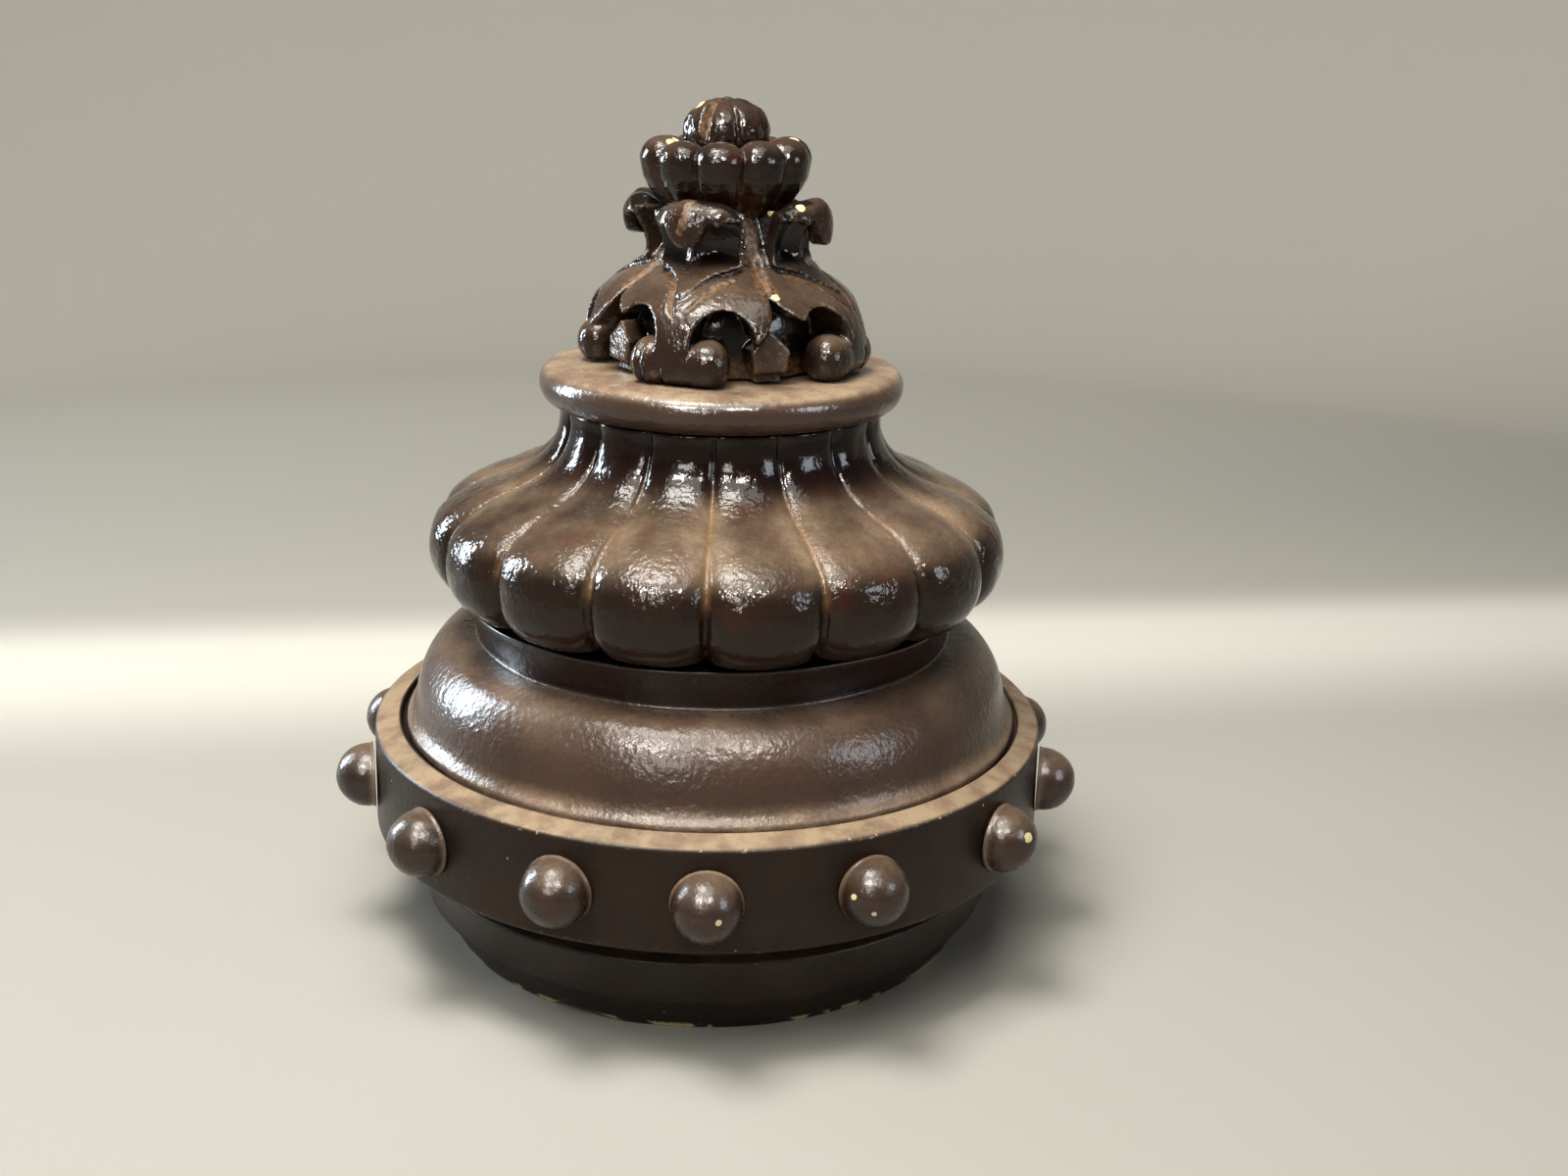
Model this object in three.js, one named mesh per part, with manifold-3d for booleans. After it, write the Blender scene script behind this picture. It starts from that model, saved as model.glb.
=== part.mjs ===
// A carved and turned wooden finial, in millimetres, +Z up, front towards -Y.
// The origin is at the centre of the underside. Heights are measured from the underside,
// radii from the axis of each turned piece, and azimuths from the front, + to the right.

import * as THREE from 'three';
import { mergeVertices } from 'three/addons/utils/BufferGeometryUtils.js';
import Module from 'manifold-3d';

const wasm = await Module();
wasm.setup();

// Gap between pieces that touch
const joint = 0.4;
// Flats round the foot, the drum and the cushion moulding
const turnedFlats = 46;

// Foot: two tapered bands and the recessed neck that carries the drum
const footBottomRadius = 134.5;
const lowerBandRadius = 143.5;
const lowerBandTop = 19.5;
const upperBandFoot = 147;
const upperBandRadius = 153.7;
const upperBandTop = 44.5;
const neckRadius = 146;
const footTop = 58.6;

// The bite missing from the foot's bottom edge
const chipStart = -29.5;
const chipPeak = -26.6;
const chipEnd = -14;
const chipHeight = 6.5;
const chipInnerRadius = 128;
const chipOuterRadius = 150;

// Drum with its ledge, and the ring of half-sunk balls
const drumRadius = 171;
const drumTopRadius = 170;
const drumBottom = footTop + joint;
const drumTop = 109.4;
const ledgeInnerRadius = 158.4;
const ledgeInnerTop = 112.2;
const recessFloor = 107.9;
const ballCount = 14;
const ballRadius = 16;
const ballHeight = 84;
const ballPhase = 2.9;
const ballCentreRadius = 174.3;
// The eight balls that face the front were set by eye and stand up to three degrees off
const ballOffsets = new Map([
  [-4, -0.6], [-3, -0.8], [-2, 2.0], [-1, 3.0], [0, -0.4], [1, -1.1], [2, 1.7], [3, 1.2],
]);

// Cushion moulding and the band above it
const cushionRadius = 155.5;
const cushionBottom = recessFloor + joint;
const bandTop = 174;

// Gadrooned body
const lobeCount = 16;
const bodyBottom = bandTop + joint;
const bodyTop = 270;

// Collar
const collarBottom = bodyTop + joint;
const collarTop = 289;

// Leaf crown: four leaves, a cup of petals and a bud
const crownBottom = collarTop + joint;
const leafCount = 4;
const leafAzimuth = -20;
// The leaves aren't evenly spaced: an even azimuth and where it really is, for each leaf and gap in turn
const leafSpacing = [
  [-155, -155], [-110, -107], [-65, -55.4], [-20, -19.1], [25, 23.2],
  [70, 69.3], [115, 115], [160, 161], [205, 205],
];
const coreRadius = 52;
const eyeOffset = 21;
const eyeHeight = 309;
const eyeRadius = 14.3;
const rollRadius = 10.5;
const rollWaist = 9;
const rollHalfSpan = 17.5;
const rollCentreRadius = 59.8;
const rollHeight = 299.9;
const lobeMeetHeight = 329;
const lobeTipHeight = 314.5;
const lobeTipSpread = 9.2;
const skirtHalfWidth = 24;
const curlHalfAngle = 30;
const curlThickness = 6;
const petalCount = 10;
const petalPhase = -2.5;
const budSegments = 8;
const budPhase = -3.3;

// The stack above the drum isn't quite true: each piece sits a little further to the right
const cushionShift = 1.2;
const bodyShift = 3.4;
const collarShift = 3.5;
const crownShift = 4.6;

const radians = THREE.MathUtils.degToRad;
const sin = (degrees) => Math.sin(radians(degrees));
const cos = (degrees) => Math.cos(radians(degrees));

// Smooth curve through a few points, as a list of points for a turned profile
function curveThrough(points, steps) {
  const flat = points.map(([x, y]) => new THREE.Vector3(x, y, 0));
  const curve = new THREE.CatmullRomCurve3(flat, false, 'centripetal');
  return curve.getPoints(steps).map((point) => [point.x, point.y]);
}

// Turned solid about +Z from a profile of [radius, height] pairs
function turned(profile, segments, startAzimuth = 0) {
  const points = profile.map(([radius, height]) => new THREE.Vector2(radius, height));
  const geometry = new THREE.LatheGeometry(points, segments, radians(startAzimuth));
  geometry.rotateX(Math.PI / 2);
  return geometry;
}

// Changes every vertex of a turned solid, given in azimuth, radius and height
function reshape(geometry, change) {
  const position = geometry.getAttribute('position');
  for (let i = 0; i < position.count; i += 1) {
    const x = position.getX(i);
    const y = position.getY(i);
    const azimuth = THREE.MathUtils.radToDeg(Math.atan2(x, -y));
    const [newAzimuth, radius, height] = change(azimuth, Math.hypot(x, y), position.getZ(i));
    position.setXYZ(i, radius * sin(newAzimuth), -radius * cos(newAzimuth), height);
  }
  return geometry;
}

// Puts a shape drawn as x right, y up and z outward onto the side of the object
function placeOutside(geometry, azimuth, radius, height) {
  const right = new THREE.Vector3(cos(azimuth), sin(azimuth), 0);
  const outward = new THREE.Vector3(sin(azimuth), -cos(azimuth), 0);
  const frame = new THREE.Matrix4().makeBasis(right, new THREE.Vector3(0, 0, 1), outward);
  frame.setPosition(outward.clone().multiplyScalar(radius).setZ(height));
  return geometry.applyMatrix4(frame);
}

// A geometry as a closed solid for joining and cutting, and back again
function toSolid(geometry) {
  const bare = geometry.clone();
  bare.deleteAttribute('normal');
  bare.deleteAttribute('uv');
  const merged = mergeVertices(bare, 1e-3);
  const corners = merged.index.array;
  const kept = [];
  for (let i = 0; i < corners.length; i += 3) {
    const [a, b, c] = corners.slice(i, i + 3);
    if (a !== b && b !== c && c !== a) kept.push(a, b, c);
  }
  return new wasm.Manifold(new wasm.Mesh({
    numProp: 3,
    vertProperties: new Float32Array(merged.getAttribute('position').array),
    triVerts: new Uint32Array(kept),
  }));
}

function toGeometry(solid) {
  const mesh = solid.getMesh();
  const geometry = new THREE.BufferGeometry();
  geometry.setAttribute('position', new THREE.BufferAttribute(mesh.vertProperties, 3));
  geometry.setIndex(new THREE.BufferAttribute(mesh.triVerts, 1));
  return geometry;
}

function joined(solids) {
  return solids.reduce((whole, solid) => whole.add(solid));
}

// Distance in degrees from the nearest of a number of evenly spaced lines
function fromNearestLine(azimuth, count, phase) {
  const pitch = 360 / count;
  const turn = (azimuth - phase) / pitch;
  return Math.abs(turn - Math.round(turn)) * pitch;
}

// Where an azimuth of the even layout of leaves really is
function realAzimuth(even) {
  const turned = THREE.MathUtils.euclideanModulo(even + 155, 360) - 155;
  const next = Math.max(1, leafSpacing.findIndex(([start]) => start >= turned));
  const [evenLow, realLow] = leafSpacing[next - 1];
  const [evenHigh, realHigh] = leafSpacing[next];
  return THREE.MathUtils.mapLinear(turned, evenLow, evenHigh, realLow, realHigh);
}

// Foot
function footGeometry() {
  const blank = toSolid(turned([
    [0, 0],
    [footBottomRadius, 0],
    [lowerBandRadius, lowerBandTop],
    [upperBandFoot, lowerBandTop + 1.1],
    [upperBandRadius, upperBandTop],
    [neckRadius, upperBandTop + 1],
    [neckRadius, footTop],
    [0, footTop],
  ], turnedFlats));
  const along = (azimuth) => (footBottomRadius * radians(azimuth - chipPeak));
  const outline = new THREE.Shape([
    new THREE.Vector2(along(chipStart), -1),
    new THREE.Vector2(along(chipEnd), -1),
    new THREE.Vector2(along(chipEnd - 6), 0.45 * chipHeight),
    new THREE.Vector2(along(chipPeak + 3), chipHeight * 0.85),
    new THREE.Vector2(0, chipHeight),
    new THREE.Vector2(along(chipStart + 1), chipHeight * 0.5),
  ]);
  const depth = chipOuterRadius - chipInnerRadius;
  const bite = new THREE.ExtrudeGeometry(outline, { depth, bevelEnabled: false });
  return toGeometry(blank.subtract(toSolid(placeOutside(bite, chipPeak, chipInnerRadius, 0))));
}

// Drum: its recess for the cushion is turned about the cushion's own centre
function drumGeometry() {
  const drum = turned([
    [0, drumBottom],
    [drumRadius - 1, drumBottom],
    [drumRadius, drumBottom + 1],
    [drumTopRadius, drumTop - 1],
    [drumTopRadius - 1, drumTop],
    [ledgeInnerRadius, ledgeInnerTop],
    [ledgeInnerRadius, recessFloor],
    [0, recessFloor],
  ], turnedFlats);
  const position = drum.getAttribute('position');
  for (let i = 0; i < position.count; i += 1) {
    const radius = Math.hypot(position.getX(i), position.getY(i));
    if (radius < ledgeInnerRadius + 0.1 && position.getZ(i) > drumBottom + 1) {
      position.setX(i, position.getX(i) + cushionShift);
    }
  }
  return drum;
}

// One ball, cut flat where it meets the drum's wall
function ballGeometry(azimuth) {
  const back = drumRadius + joint - ballCentreRadius;
  const rings = 4;
  const start = Math.asin(back / ballRadius);
  const profile = [[0, back]];
  for (let ring = 0; ring <= rings; ring += 1) {
    const angle = THREE.MathUtils.lerp(start, Math.PI / 2, ring / rings);
    profile.push([ring === rings ? 0 : ballRadius * Math.cos(angle), ballRadius * Math.sin(angle)]);
  }
  const points = profile.map(([radius, outward]) => new THREE.Vector2(radius, outward));
  const ball = new THREE.LatheGeometry(points, 10);
  ball.rotateX(Math.PI / 2);
  return placeOutside(ball, azimuth, ballCentreRadius, ballHeight);
}

// Cushion moulding: a quarter-round swell, a flat and a flared band
function cushionGeometry() {
  const swell = curveThrough([
    [cushionRadius, 112], [151, 119], [148.8, 129], [145, 139], [139.5, 147.5], [131, 152.8], [119, 153.5],
  ], 7);
  return turned([
    [0, cushionBottom],
    [cushionRadius, cushionBottom],
    ...swell,
    [125.5, bandTop],
    [0, bandTop],
  ], turnedFlats);
}

// Gadrooned body: convex lobes that run up a flared neck as reeds
function bodyGeometry() {
  const outline = curveThrough([
    [129, 176.2], [138, 183], [143.2, 198], [139.5, 213], [126, 225],
    [104, 234], [87, 245], [79.6, 258], [79, bodyTop],
  ], 9);
  const body = turned([
    [0, bodyBottom], [123, bodyBottom], ...outline, [0, bodyTop],
  ], lobeCount * 6);
  const pitch = 360 / lobeCount;
  const grooveDepth = (height) => {
    const bottomFade = THREE.MathUtils.smoothstep(height, bodyBottom, bodyBottom + 8);
    const neckFade = 1 - THREE.MathUtils.smoothstep(height, 215, 262);
    return bottomFade * (3.2 + 5.6 * neckFade);
  };
  return reshape(body, (azimuth, radius, height) => {
    if (radius < 10) return [azimuth, radius, height];
    const turn = azimuth / pitch;
    const lobe = Math.floor(turn + 1e-6);
    const across = 2 * (turn - lobe) - 1;
    // Columns are drawn towards the grooves, where the surface turns fastest
    const spread = Math.sign(across) * Math.abs(across) ** 0.62;
    const fall = 1 - Math.sqrt(Math.max(0, 1 - Math.abs(spread) ** 2.4));
    return [(lobe + (spread + 1) / 2) * pitch, radius - grooveDepth(height) * fall, height];
  });
}

// Collar
function collarGeometry() {
  return turned([
    [0, collarBottom],
    [79, collarBottom],
    [86, 273],
    [89.2, 279.5],
    [87.2, 286],
    [79, collarTop],
    [0, collarTop],
  ], 42);
}

// Turned blank of the leaves with a valley between each two
function leafBlank() {
  const profile = [
    [0, crownBottom], [60, crownBottom], [66.5, 294.5], [70.2, 304], [68, 315],
    [57.5, 328.5], [46, 336], [40, 342.5], [39, 352], [36, 361], [0, 361],
  ];
  const valley = leafAzimuth + 180 / leafCount;
  const blank = turned(profile, 36, valley);
  return toSolid(reshape(blank, (azimuth, radius, height) => {
    const fold = Math.max(0, 1 - fromNearestLine(azimuth, leafCount, valley) / 12);
    const inValley = THREE.MathUtils.smoothstep(height, 312, 332);
    return [realAzimuth(azimuth), radius - (radius > 20 ? 4 * fold * inValley : 0), height];
  }));
}

// The round eye over each end of a leaf's roll
function eyeCutter(azimuth) {
  const eye = new THREE.CylinderGeometry(eyeRadius, eyeRadius, 40, 12);
  eye.rotateX(Math.PI / 2);
  return toSolid(placeOutside(eye, azimuth, coreRadius + 18, eyeHeight));
}

// The opening between two leaves, from where their side lobes meet down to the collar
function skirtCutter(azimuth) {
  const shape = new THREE.Shape([
    new THREE.Vector2(0, lobeMeetHeight),
    new THREE.Vector2(-lobeTipSpread, lobeTipHeight),
    new THREE.Vector2(-lobeTipSpread - 3, eyeHeight),
    new THREE.Vector2(-skirtHalfWidth - eyeRadius, eyeHeight),
    new THREE.Vector2(-skirtHalfWidth - eyeRadius + 2, crownBottom - 5),
    new THREE.Vector2(skirtHalfWidth + eyeRadius - 2, crownBottom - 5),
    new THREE.Vector2(skirtHalfWidth + eyeRadius, eyeHeight),
    new THREE.Vector2(lobeTipSpread + 3, eyeHeight),
    new THREE.Vector2(lobeTipSpread, lobeTipHeight),
  ]);
  const cutter = new THREE.ExtrudeGeometry(shape, { depth: 60, bevelEnabled: false });
  return toSolid(placeOutside(cutter, azimuth, 34, 0));
}

// The scroll that ends a leaf at the bottom: two round ends and a waist
function rollSolid(azimuth) {
  const end = rollHalfSpan + rollRadius;
  const half = [
    [rollWaist, rollHalfSpan * 0.4],
    [rollRadius, rollHalfSpan],
    [rollRadius * 0.72, rollHalfSpan + rollRadius * 0.7],
  ];
  const profile = [
    [0, -end],
    ...half.map(([radius, along]) => [radius, -along]).reverse(),
    ...half,
    [0, end],
  ];
  const points = profile.map(([radius, along]) => new THREE.Vector2(radius, along));
  const roll = new THREE.LatheGeometry(points, 8);
  roll.rotateZ(-Math.PI / 2);
  return toSolid(placeOutside(roll, azimuth, rollCentreRadius, rollHeight));
}

// The small pointed leaf behind, seen between two leaves
function backLeaf(azimuth) {
  const shape = new THREE.Shape([
    new THREE.Vector2(0, 318),
    new THREE.Vector2(-11, 303.5),
    new THREE.Vector2(-3, crownBottom),
    new THREE.Vector2(3, crownBottom),
    new THREE.Vector2(11, 303.5),
  ]);
  const leaf = new THREE.ExtrudeGeometry(shape, { depth: 20, bevelEnabled: false });
  return toSolid(placeOutside(leaf, azimuth, 38, 0));
}

// The upper blade of a leaf, which rolls outward over its own top into a lip of three lobes
function curlSolid(azimuth) {
  const half = [[0.3, 352, 0], [0.5, 358, 0], [1, 359, 3]];
  const columns = [
    ...half.map(([across, lip, inset]) => [-across, lip, inset]).reverse(),
    [0, 349.5, 0],
    ...half,
  ];
  const vertices = [];
  const sections = columns.map(([across, lip, inset]) => {
    const middle = [[35, 338], [38.5, 353], [41.5, 363], [46, 366.8], [49.4, 363], [49.8, lip]];
    return thickLine(middle, curlThickness).map(([radius, height]) => [radius - inset, height, across]);
  });
  const ringSize = sections[0].length;
  for (const section of sections) {
    for (const [radius, height, across] of section) {
      const angle = azimuth + across * curlHalfAngle;
      vertices.push(radius * sin(angle), -radius * cos(angle), height);
    }
  }
  const faces = [];
  for (let column = 0; column + 1 < sections.length; column += 1) {
    for (let i = 0; i < ringSize; i += 1) {
      const next = (i + 1) % ringSize;
      const a = column * ringSize + i;
      const b = column * ringSize + next;
      faces.push(a, b + ringSize, b, a, a + ringSize, b + ringSize);
    }
  }
  const flat = sections[0].map(([radius, height]) => new THREE.Vector2(radius, height));
  const cap = THREE.ShapeUtils.triangulateShape(flat, []);
  const last = (sections.length - 1) * ringSize;
  for (const [a, b, c] of cap) {
    faces.push(a, b, c);
    faces.push(last + a, last + c, last + b);
  }
  const geometry = new THREE.BufferGeometry();
  geometry.setAttribute('position', new THREE.Float32BufferAttribute(vertices, 3));
  geometry.setIndex(faces);
  return toSolid(geometry);
}

// Outline of a line with thickness, anticlockwise, with square ends
function thickLine(middle, thickness) {
  const side = (sign) => middle.map(([x, y], i) => {
    const [xa, ya] = middle[Math.max(0, i - 1)];
    const [xb, yb] = middle[Math.min(middle.length - 1, i + 1)];
    const length = Math.hypot(xb - xa, yb - ya);
    const offset = (sign * thickness) / 2 / length;
    return [x + (yb - ya) * offset, y - (xb - xa) * offset];
  });
  return [...side(1), ...side(-1).reverse()];
}

// Cup of rounded petals
function petalCup() {
  const profile = [[0, 359], [24, 361], [36.5, 373], [41.3, 386], [38, 394], [30, 396], [0, 392]];
  const cup = turned(profile, petalCount * 4);
  return toSolid(reshape(cup, (azimuth, radius, height) => {
    const d = fromNearestLine(azimuth, petalCount, petalPhase + 180 / petalCount) / (180 / petalCount);
    const fall = 1 - Math.sqrt(Math.max(0, 1 - (1 - d) ** 2));
    return [azimuth, radius - (radius > 25 ? 5.5 * fall : 0), height];
  }));
}

// Bud of close segments
function budSolid() {
  const profile = [[0, 386], [16.5, 388], [20.5, 398], [18.5, 408], [9, 414], [0, 415]];
  const bud = turned(profile, budSegments * 4, budPhase);
  return toSolid(reshape(bud, (azimuth, radius, height) => {
    const d = fromNearestLine(azimuth, budSegments, budPhase + 180 / budSegments) / (180 / budSegments);
    const fall = 1 - Math.sqrt(Math.max(0, 1 - (1 - d) ** 2));
    return [azimuth, radius - (radius > 9 ? 2.2 * fall : 0), height];
  }));
}

// Leaf crown, carved as one
function crownGeometry() {
  const leaves = [];
  const gaps = [];
  for (let leaf = 0; leaf < leafCount; leaf += 1) {
    leaves.push(leafAzimuth + (leaf * 360) / leafCount);
    gaps.push(leafAzimuth + ((leaf + 0.5) * 360) / leafCount);
  }
  const eyes = leaves.flatMap((azimuth) => [azimuth - eyeOffset, azimuth + eyeOffset]);
  const core = toSolid(turned([
    [0, crownBottom], [coreRadius, crownBottom], [coreRadius, 318], [42, 332], [0, 332],
  ], 16));
  const placed = (azimuths, make) => azimuths.map((azimuth) => make(realAzimuth(azimuth)));
  const carved = leafBlank().subtract(joined([...placed(eyes, eyeCutter), ...placed(gaps, skirtCutter)]));
  return toGeometry(joined([
    carved, core, petalCup(), budSolid(),
    ...placed(leaves, rollSolid), ...placed(gaps, backLeaf), ...placed(leaves, curlSolid),
  ]));
}

// Dark stained and varnished wood, a little redder or greyer from piece to piece
function wood(colour, roughness) {
  return new THREE.MeshStandardMaterial({ color: colour, roughness, metalness: 0 });
}

function piece(name, geometry, material, shift = 0) {
  const mesh = new THREE.Mesh(geometry, material);
  mesh.name = name;
  mesh.position.x = shift;
  return mesh;
}

const finial = new THREE.Group();
finial.add(piece('foot', footGeometry(), wood(0x2a211d, 0.6)));
finial.add(piece('drum', drumGeometry(), wood(0x352923, 0.6)));
finial.add(piece('cushion_moulding', cushionGeometry(), wood(0x3a2a22, 0.45), cushionShift));
finial.add(piece('gadrooned_body', bodyGeometry(), wood(0x33221b, 0.38), bodyShift));
finial.add(piece('collar', collarGeometry(), wood(0x3a2e25, 0.5), collarShift));
finial.add(piece('leaf_crown', crownGeometry(), wood(0x2c211c, 0.38), crownShift));
for (let ball = 0; ball < ballCount; ball += 1) {
  const step = ball < ballCount / 2 ? ball : ball - ballCount;
  const azimuth = ballPhase + (step * 360) / ballCount + (ballOffsets.get(step) ?? 0);
  const name = `ball_${String(ball + 1).padStart(2, '0')}`;
  finial.add(piece(name, ballGeometry(azimuth), wood(0x30241f, 0.45)));
}

export default finial;
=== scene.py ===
import math

import bpy
import numpy as np
from mathutils import Euler, Matrix


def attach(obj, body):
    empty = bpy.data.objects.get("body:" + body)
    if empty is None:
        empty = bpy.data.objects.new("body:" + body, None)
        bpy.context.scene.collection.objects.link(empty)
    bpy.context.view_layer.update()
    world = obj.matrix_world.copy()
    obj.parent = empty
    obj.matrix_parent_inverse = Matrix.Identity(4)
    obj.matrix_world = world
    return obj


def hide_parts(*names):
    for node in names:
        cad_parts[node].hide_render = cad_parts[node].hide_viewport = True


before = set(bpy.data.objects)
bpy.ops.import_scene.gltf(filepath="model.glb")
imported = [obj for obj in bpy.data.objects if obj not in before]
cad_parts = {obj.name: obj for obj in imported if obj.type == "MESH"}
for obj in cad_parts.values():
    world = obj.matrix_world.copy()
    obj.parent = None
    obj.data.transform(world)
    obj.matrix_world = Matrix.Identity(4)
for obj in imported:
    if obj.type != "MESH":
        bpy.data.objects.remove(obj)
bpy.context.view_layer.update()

# Shapes are worked out in millimetres and put into the meshes in metres. Azimuths are in degrees
# from the front, + to the right, so that a point at azimuth a and radius r is (r sin a, -r cos a).
MM = 0.001

# How far each piece of the stack stands to the right of the foot's axis
CUSHION_SHIFT = 1.2
BODY_SHIFT = 3.4
COLLAR_SHIFT = 3.5
CROWN_SHIFT = 4.8
BUD_SHIFT = 3.7

# Fineness of the meshes: columns round a piece or in a lobe, rings, and steps of the carvings' grids
TURNED_COLUMNS = 360
COLLAR_COLUMNS = 320
LOBE_COLUMNS = 26
BALL_COLUMNS = 48
BALL_RINGS = 40
LEAF_STEP = 1.08
BUD_STEP = 0.82

# Foot: (radius, height) of its corners, and the roof of the bite in its bottom edge as (azimuth, height)
FOOT_CORNERS = (
    (60, 0), (134.2, 0), (143.5, 19.3), (147.2, 20.4), (153.6, 44.2), (146, 45.3), (146, 58.2),
    (80, 58.4),
)
BITE_ROOF = ((-29.5, 0), (-28.8, 3.4), (-26.6, 6.3), (-24, 5.4), (-19.5, 2.8), (-14, 0))
BITE_DEPTH = 5

# Drum, and the ring of balls on its wall, with the degrees that each ball in view stands off its even place
DRUM_CORNERS = (
    (100, 59), (170.2, 59), (171, 60), (170, 108.4), (169, 109.3), (158.3, 112), (157.9, 108),
    (100, 107.9),
)
DRUM_WALL = 171.3
BALL_COUNT = 14
BALL_RADIUS = 15.8
BALL_HEIGHT = 84
BALL_PHASE = 2.9
BALL_CENTRE_RADIUS = 174.3
BALL_OFFSETS = {-4: -0.6, -3: -0.8, -2: 2, -1: 3, 0: -0.4, 1: -1.1, 2: 1.7, 3: 1.2}

# Cushion moulding, gadrooned body and collar: sections of (radius, height) points, a smooth curve each
CUSHION_SECTIONS = (
    ((100, 108.3), (155.4, 108.3)),
    ((155.4, 108.3), (155.4, 112.6)),
    ((155.4, 112.6), (152.4, 116.2), (150.5, 122), (149, 129), (146.6, 136), (143.4, 142),
     (139.3, 147.3), (134.5, 150.8), (128, 152.9), (119, 153.4)),
    ((119, 153.4), (121, 164), (125.4, 173.6)),
    ((125.4, 173.6), (90, 173.8)),
)
BODY_SECTIONS = (
    ((70, 174.6), (123, 174.5)),
    ((123, 174.5), (129, 176.2), (134, 179), (138.2, 183.5), (141.6, 190), (143.2, 199),
     (142.2, 208), (139.2, 215.5), (133.2, 221), (125, 226), (116, 230), (107, 233.2),
     (98, 237.2), (90, 242.5), (84, 249), (80.4, 256.5), (79.2, 264), (79.2, 269.6)),
    ((79.2, 269.6), (50, 269.8)),
)
COLLAR_SECTIONS = (
    ((50, 270.5), (79.5, 270.5)),
    ((79.5, 270.5), (83.4, 271.2), (87.2, 274.2), (89.1, 279.8), (88, 284.8), (84.4, 287.6), (78, 288.6)),
    ((78, 288.6), (30, 288.7)),
)
COLLAR_TOP = 289.2

# Lobes of the gadrooned body
LOBE_COUNT = 16
LOBE_PITCH = 360 / LOBE_COUNT
LOBE_DEPTH_LOW = 10.2
LOBE_DEPTH_NECK = 4.3

# Leaf crown. The four leaves aren't evenly spaced: azimuth of each leaf's axis and of each gap on an even
# layout, and where it really is. Degrees from a leaf's axis are taken on the even layout.
LEAF_AXIS = -20
LEAF_PITCH = 90
EVEN_AZIMUTHS = (-155, -110, -65, -20, 25, 70, 115, 160, 205)
REAL_AZIMUTHS = (-155, -107, -55.4, -19.1, 23.2, 69.3, 115, 161, 205)
LEAF_BOX = ((-74, -74, 288), (74.5, 74.5, 373.5))
CROWN_FLOOR = 289.4
CROWN_ROOF = 372

# Bulging leaves: radius and steepness by height, and height of the hem by degrees from the axis
BULGE = (
    (286, 58), (289, 60), (294, 66), (299, 69), (305, 70.2), (312, 68.6), (319, 65.2),
    (324, 61.2), (328, 56.8), (331.5, 51.4), (334.5, 46), (337.5, 41.2), (341, 37.4), (346, 32.5),
    (353, 28), (375, 26),
)
BULGE_SLOPE = ((286, 0.8), (312, 1), (320, 0.85), (326, 0.66), (334, 0.6), (341, 0.72), (350, 1))
BULGE_TOP = 352
HEM = (
    (0, 327), (5, 331), (8, 333.5), (12, 335.5), (16, 337), (22, 338.4), (30, 339.4),
    (36, 341.5),
)

# Carved lines beside a leaf's midrib: points across and up, and half width by share of the length
LEFT_LINE = (
    (-1.4, 320), (-3.4, 323.2), (-5.4, 327), (-8.2, 331), (-14, 334.2), (-21, 335.9), (-28, 336.8),
)
LEFT_WIDTH = ((0, 0.5), (0.4, 2.1), (0.6, 2.1), (1, 0.8))
RIGHT_LINE = ((3.6, 320.9), (8.3, 325.5), (14.2, 330.4), (18.4, 332.4), (29.4, 334.7))
RIGHT_WIDTH = ((0, 0.6), (0.5, 1.9), (1, 1))
USUAL_LINE = ((2.5, 320.5), (5.8, 324.2), (9.5, 328.6), (14.7, 332.2), (23, 335.1), (29.4, 336.1))
USUAL_WIDTH = ((0, 0.6), (0.5, 1.6), (1, 0.8))

# Eyes over the rolls, and half the width in degrees of the tooth that hangs on each side of a gap, by height
EYE_AZIMUTH = 21.7
EYE_HALF_ANGLE = 13.6
EYE_HEIGHT = 309
EYE_RADIUS = 14.6
LONG_TOOTH = (
    (286, 28), (306, 12.5), (309, 9.6), (312.5, 6), (317, 2.8), (322, 1.2), (327, 0.5),
    (329, -1.5),
)
SHORT_TOOTH = (
    (286, 28), (315, 15.5), (318.5, 12.6), (321.5, 7.2), (324.5, 3.6), (327.5, 1.2), (330, -1.5),
)

# Core and stem, small leaf behind each gap, and rolls
CORE = ((280, 47), (304, 47), (316, 45.5), (326, 41), (334, 37), (342, 33), (376, 30))
STEM = ((342, 33), (350, 31), (358, 27), (366, 22), (373, 20))
STEM_FOOT = 342
SMALL_LEAF_HALF = ((292, 6.6), (294.5, 8), (304.5, 9.6), (313.6, 0.3), (315, -0.8))
SMALL_LEAF_OUT = 59
ROLL_HEIGHT = 298.6
ROLL_OUT = 60.5
ROLL_HALF = 16.5
ROLL_HALF_HIDDEN = 11

# Blades over the hem: how far out, steepness and half width in degrees by height, and degrees from the axis
# to the fin and from the fin to the sides. Curled lips: path in (radius, height), and cut edge by degrees.
BLADE_LEAN = (
    (326, 60), (329.5, 56.4), (332.5, 51.6), (335.5, 46.8), (338.5, 43.4), (342, 41.4), (346, 40.8),
    (350, 41.2), (355, 43), (360, 45.6), (366, 46.5),
)
BLADE_SLOPE = ((326, 0.62), (334, 0.62), (341, 0.8), (348, 1))
BLADE_EDGE = ((330, 36.5), (338, 36), (345, 33), (356, 32.5), (366, 33))
BLADE_TOP = 365
FIN = -2.5
SCOOP_REACH_LEFT = 30.5
SCOOP_REACH_RIGHT = 34.5
CURL_PATH = ((31, 358.5), (36, 364), (41, 366.4), (45.4, 364.2), (47.2, 358), (46.2, 346.5))
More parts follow.
